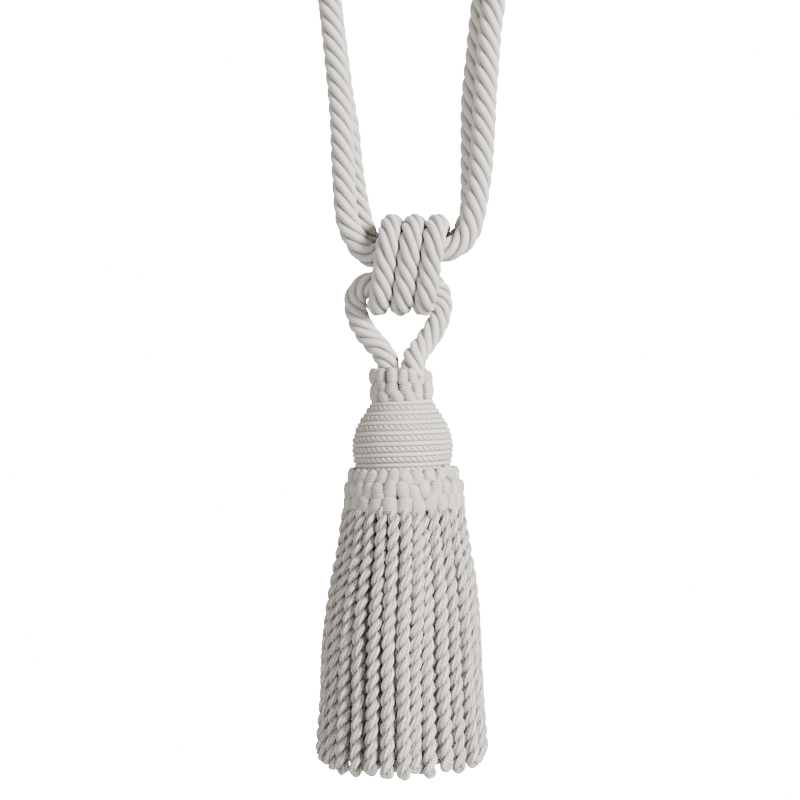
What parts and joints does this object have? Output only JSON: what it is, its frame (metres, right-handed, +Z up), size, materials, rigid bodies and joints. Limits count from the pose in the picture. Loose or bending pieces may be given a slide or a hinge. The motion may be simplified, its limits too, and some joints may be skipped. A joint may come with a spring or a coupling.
{
  "type": "curtain tieback",
  "caption": "Rope curtain tieback: a doubled laid-rope embrace with an eye at each end, a coiled knot, and a cord-wound mould with stitched ruffs over a flared bullion tassel skirt.",
  "frame": {"origin": "midway between the two eyes, level with the inside of their tops, where the wall hooks carry them", "axes": "+Z up, front faces -Y, +X right"},
  "size_m": [0.1085, 0.0696, 0.4759],
  "materials": {
    "rope": "soft satin furnishing cord",
    "ruff": "matt wrapped thread",
    "mould": "satin cord wound side by side",
    "bullion": "matt twisted yarn"
  },
  "bodies": {
    "root": {"embrace_rope": "rope", "knot_coil": "rope", "tassel_loop": "rope", "neck_ruff": "ruff", "head_mould": "mould", "skirt_ruff": "ruff", "bullion_skirt": "bullion"}
  },
  "joints": []
}
